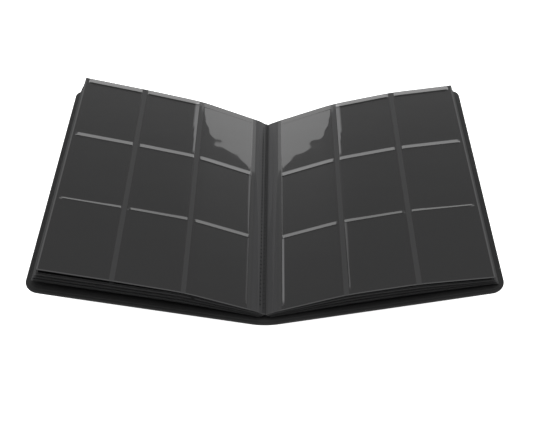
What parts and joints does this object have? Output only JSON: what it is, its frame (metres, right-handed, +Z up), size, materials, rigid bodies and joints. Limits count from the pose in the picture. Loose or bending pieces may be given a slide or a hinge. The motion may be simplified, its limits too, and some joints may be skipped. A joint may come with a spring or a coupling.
{
  "type": "pocket album",
  "caption": "Side-loading pocket album for coins and cards in sleeves, lying open, with turning leaves of clear pockets on dark sheets in a soft hinged cover.",
  "frame": {"origin": "middle of the flat underside of the spine, which the open album rests on", "axes": "+X to the right of a reader, across both open covers; +Y along the spine to the head of the pages; +Z up, out of the open album"},
  "size_m": [0.449, 0.2916, 0.0792],
  "materials": {
    "leatherette": "matte",
    "board": "matte",
    "padding": "matte",
    "lining": "matte",
    "binding": "matte",
    "leaf_sheet": "satin",
    "pocket_film": "gloss"
  },
  "bodies": {
    "spine_left": {"spine_skin_left": "leatherette", "spine_padding_left": "padding", "spine_lining_left": "lining", "binding_strip_left": "binding", "sheet_folds_left": "leaf_sheet"},
    "spine_right": {"spine_skin_right": "leatherette", "spine_padding_right": "padding", "spine_lining_right": "lining", "binding_strip_right": "binding", "sheet_folds_right": "leaf_sheet"},
    "front_cover": {"front_cover_skin": "leatherette", "front_cover_board": "board", "front_cover_lining": "lining"},
    "leaf_left_01": {"leaf_left_01_sheet": "leaf_sheet", "leaf_left_01_films": "pocket_film"},
    "leaf_left_02": {"leaf_left_02_sheet": "leaf_sheet", "leaf_left_02_films": "pocket_film"},
    "leaf_left_03": {"leaf_left_03_sheet": "leaf_sheet", "leaf_left_03_films": "pocket_film"},
    "leaf_left_04": {"leaf_left_04_sheet": "leaf_sheet", "leaf_left_04_films": "pocket_film"},
    "leaf_left_05": {"leaf_left_05_sheet": "leaf_sheet", "leaf_left_05_films": "pocket_film"},
    "leaf_left_06": {"leaf_left_06_sheet": "leaf_sheet", "leaf_left_06_films": "pocket_film"},
    "leaf_left_07": {"leaf_left_07_sheet": "leaf_sheet", "leaf_left_07_films": "pocket_film"},
    "leaf_left_08": {"leaf_left_08_sheet": "leaf_sheet", "leaf_left_08_films": "pocket_film"},
    "leaf_left_09": {"leaf_left_09_sheet": "leaf_sheet", "leaf_left_09_films": "pocket_film"},
    "leaf_left_10_inner": {"leaf_left_10_inner_sheet": "leaf_sheet", "leaf_left_10_inner_films": "pocket_film"},
    "leaf_left_10_outer": {"leaf_left_10_outer_sheet": "leaf_sheet", "leaf_left_10_outer_films": "pocket_film"},
    "back_cover": {"back_cover_skin": "leatherette", "back_cover_board": "board", "back_cover_lining": "lining"},
    "leaf_right_01": {"leaf_right_01_sheet": "leaf_sheet", "leaf_right_01_films": "pocket_film"},
    "leaf_right_02": {"leaf_right_02_sheet": "leaf_sheet", "leaf_right_02_films": "pocket_film"},
    "leaf_right_03": {"leaf_right_03_sheet": "leaf_sheet", "leaf_right_03_films": "pocket_film"},
    "leaf_right_04": {"leaf_right_04_sheet": "leaf_sheet", "leaf_right_04_films": "pocket_film"},
    "leaf_right_05": {"leaf_right_05_sheet": "leaf_sheet", "leaf_right_05_films": "pocket_film"},
    "leaf_right_06": {"leaf_right_06_sheet": "leaf_sheet", "leaf_right_06_films": "pocket_film"},
    "leaf_right_07": {"leaf_right_07_sheet": "leaf_sheet", "leaf_right_07_films": "pocket_film"},
    "leaf_right_08": {"leaf_right_08_sheet": "leaf_sheet", "leaf_right_08_films": "pocket_film"},
    "leaf_right_09": {"leaf_right_09_sheet": "leaf_sheet", "leaf_right_09_films": "pocket_film"},
    "leaf_right_10_inner": {"leaf_right_10_inner_sheet": "leaf_sheet", "leaf_right_10_inner_films": "pocket_film"},
    "leaf_right_10_outer": {"leaf_right_10_outer_sheet": "leaf_sheet", "leaf_right_10_outer_films": "pocket_film"}
  },
  "joints": [
    {"name": "spine_bend", "type": "hinge", "parent": "spine_left", "child": "spine_right", "pos_m": [0, 0, 0], "axis": [0, 1, 0], "range_deg": [0, 28.8]},
    {"name": "front_cover_fold", "type": "hinge", "parent": "spine_left", "child": "front_cover", "pos_m": [-0.00627, 0, 0.0032], "axis": [0, -1, 0], "range_deg": [-75.6, 0]},
    {"name": "leaf_left_01_fold", "type": "hinge", "parent": "spine_left", "child": "leaf_left_01", "pos_m": [-0.00536, 0, 0.00395], "axis": [0, -1, 0], "range_deg": [-73.97, 0]},
    {"name": "leaf_left_02_fold", "type": "hinge", "parent": "spine_left", "child": "leaf_left_02", "pos_m": [-0.00482, 0, 0.00445], "axis": [0, -1, 0], "range_deg": [-73.62, 0]},
    {"name": "leaf_left_03_fold", "type": "hinge", "parent": "spine_left", "child": "leaf_left_03", "pos_m": [-0.00428, 0, 0.00494], "axis": [0, -1, 0], "range_deg": [-73.27, 0]},
    {"name": "leaf_left_04_fold", "type": "hinge", "parent": "spine_left", "child": "leaf_left_04", "pos_m": [-0.00374, 0, 0.00544], "axis": [0, -1, 0], "range_deg": [-72.92, 0]},
    {"name": "leaf_left_05_fold", "type": "hinge", "parent": "spine_left", "child": "leaf_left_05", "pos_m": [-0.0032, 0, 0.00594], "axis": [0, -1, 0], "range_deg": [-72.57, 0]},
    {"name": "leaf_left_06_fold", "type": "hinge", "parent": "spine_left", "child": "leaf_left_06", "pos_m": [-0.00266, 0, 0.00644], "axis": [0, -1, 0], "range_deg": [-72.23, 0]},
    {"name": "leaf_left_07_fold", "type": "hinge", "parent": "spine_left", "child": "leaf_left_07", "pos_m": [-0.00212, 0, 0.00694], "axis": [0, -1, 0], "range_deg": [-71.88, 0]},
    {"name": "leaf_left_08_fold", "type": "hinge", "parent": "spine_left", "child": "leaf_left_08", "pos_m": [-0.00158, 0, 0.00743], "axis": [0, -1, 0], "range_deg": [-71.53, 0]},
    {"name": "leaf_left_09_fold", "type": "hinge", "parent": "spine_left", "child": "leaf_left_09", "pos_m": [-0.00104, 0, 0.00793], "axis": [0, -1, 0], "range_deg": [-71.18, 0]},
    {"name": "top_leaf_left_flex", "type": "hinge", "parent": "leaf_left_10_inner", "child": "leaf_left_10_outer", "pos_m": [-0.0772, 0, 0.0439], "axis": [0, 1, 0], "range_deg": [-0.01, 26.61]},
    {"name": "top_leaf_left_turn", "type": "hinge", "parent": "leaf_left_09", "child": "leaf_left_10_inner", "pos_m": [-0.0005, 0, 0.00843], "axis": [0, 1, 0], "range_deg": [0, 128]},
    {"name": "back_cover_fold", "type": "hinge", "parent": "spine_right", "child": "back_cover", "pos_m": [0.00627, 0, 0.0032], "axis": [0, 1, 0], "range_deg": [-75.6, 0]},
    {"name": "leaf_right_01_fold", "type": "hinge", "parent": "spine_right", "child": "leaf_right_01", "pos_m": [0.00536, 0, 0.00395], "axis": [0, 1, 0], "range_deg": [-75.02, 0]},
    {"name": "leaf_right_02_fold", "type": "hinge", "parent": "spine_right", "child": "leaf_right_02", "pos_m": [0.00482, 0, 0.00445], "axis": [0, 1, 0], "range_deg": [-74.92, 0]},
    {"name": "leaf_right_03_fold", "type": "hinge", "parent": "spine_right", "child": "leaf_right_03", "pos_m": [0.00428, 0, 0.00494], "axis": [0, 1, 0], "range_deg": [-74.82, 0]},
    {"name": "leaf_right_04_fold", "type": "hinge", "parent": "spine_right", "child": "leaf_right_04", "pos_m": [0.00374, 0, 0.00544], "axis": [0, 1, 0], "range_deg": [-74.72, 0]},
    {"name": "leaf_right_05_fold", "type": "hinge", "parent": "spine_right", "child": "leaf_right_05", "pos_m": [0.0032, 0, 0.00594], "axis": [0, 1, 0], "range_deg": [-74.62, 0]},
    {"name": "leaf_right_06_fold", "type": "hinge", "parent": "spine_right", "child": "leaf_right_06", "pos_m": [0.00266, 0, 0.00644], "axis": [0, 1, 0], "range_deg": [-74.52, 0]},
    {"name": "leaf_right_07_fold", "type": "hinge", "parent": "spine_right", "child": "leaf_right_07", "pos_m": [0.00212, 0, 0.00694], "axis": [0, 1, 0], "range_deg": [-74.42, 0]},
    {"name": "leaf_right_08_fold", "type": "hinge", "parent": "spine_right", "child": "leaf_right_08", "pos_m": [0.00158, 0, 0.00743], "axis": [0, 1, 0], "range_deg": [-74.32, 0]},
    {"name": "leaf_right_09_fold", "type": "hinge", "parent": "spine_right", "child": "leaf_right_09", "pos_m": [0.00104, 0, 0.00793], "axis": [0, 1, 0], "range_deg": [-74.22, 0]},
    {"name": "top_leaf_right_flex", "type": "hinge", "parent": "leaf_right_10_inner", "child": "leaf_right_10_outer", "pos_m": [0.078, 0, 0.0403], "axis": [0, -1, 0], "range_deg": [-0.01, 26.61]},
    {"name": "top_leaf_right_turn", "type": "hinge", "parent": "leaf_right_09", "child": "leaf_right_10_inner", "pos_m": [0.0005, 0, 0.00843], "axis": [0, -1, 0], "range_deg": [0, 128]}
  ],
  "couplings": [
    {"joint": "leaf_left_01_fold", "follows": "front_cover_fold", "ratio": 0.97829},
    {"joint": "leaf_left_02_fold", "follows": "front_cover_fold", "ratio": 0.97368},
    {"joint": "leaf_left_03_fold", "follows": "front_cover_fold", "ratio": 0.96907},
    {"joint": "leaf_left_04_fold", "follows": "front_cover_fold", "ratio": 0.96446},
    {"joint": "leaf_left_05_fold", "follows": "front_cover_fold", "ratio": 0.95985},
    {"joint": "leaf_left_06_fold", "follows": "front_cover_fold", "ratio": 0.95524},
    {"joint": "leaf_left_07_fold", "follows": "front_cover_fold", "ratio": 0.95063},
    {"joint": "leaf_left_08_fold", "follows": "front_cover_fold", "ratio": 0.94601},
    {"joint": "leaf_left_09_fold", "follows": "front_cover_fold", "ratio": 0.9414},
    {"joint": "top_leaf_left_flex", "follows": "top_leaf_left_turn", "ratio": 0.20781},
    {"joint": "leaf_right_01_fold", "follows": "back_cover_fold", "ratio": 0.99218},
    {"joint": "leaf_right_02_fold", "follows": "back_cover_fold", "ratio": 0.99086},
    {"joint": "leaf_right_03_fold", "follows": "back_cover_fold", "ratio": 0.98954},
    {"joint": "leaf_right_04_fold", "follows": "back_cover_fold", "ratio": 0.98822},
    {"joint": "leaf_right_05_fold", "follows": "back_cover_fold", "ratio": 0.9869},
    {"joint": "leaf_right_06_fold", "follows": "back_cover_fold", "ratio": 0.98558},
    {"joint": "leaf_right_07_fold", "follows": "back_cover_fold", "ratio": 0.98426},
    {"joint": "leaf_right_08_fold", "follows": "back_cover_fold", "ratio": 0.98294},
    {"joint": "leaf_right_09_fold", "follows": "back_cover_fold", "ratio": 0.98161},
    {"joint": "top_leaf_right_flex", "follows": "top_leaf_right_turn", "ratio": 0.20781}
  ]
}
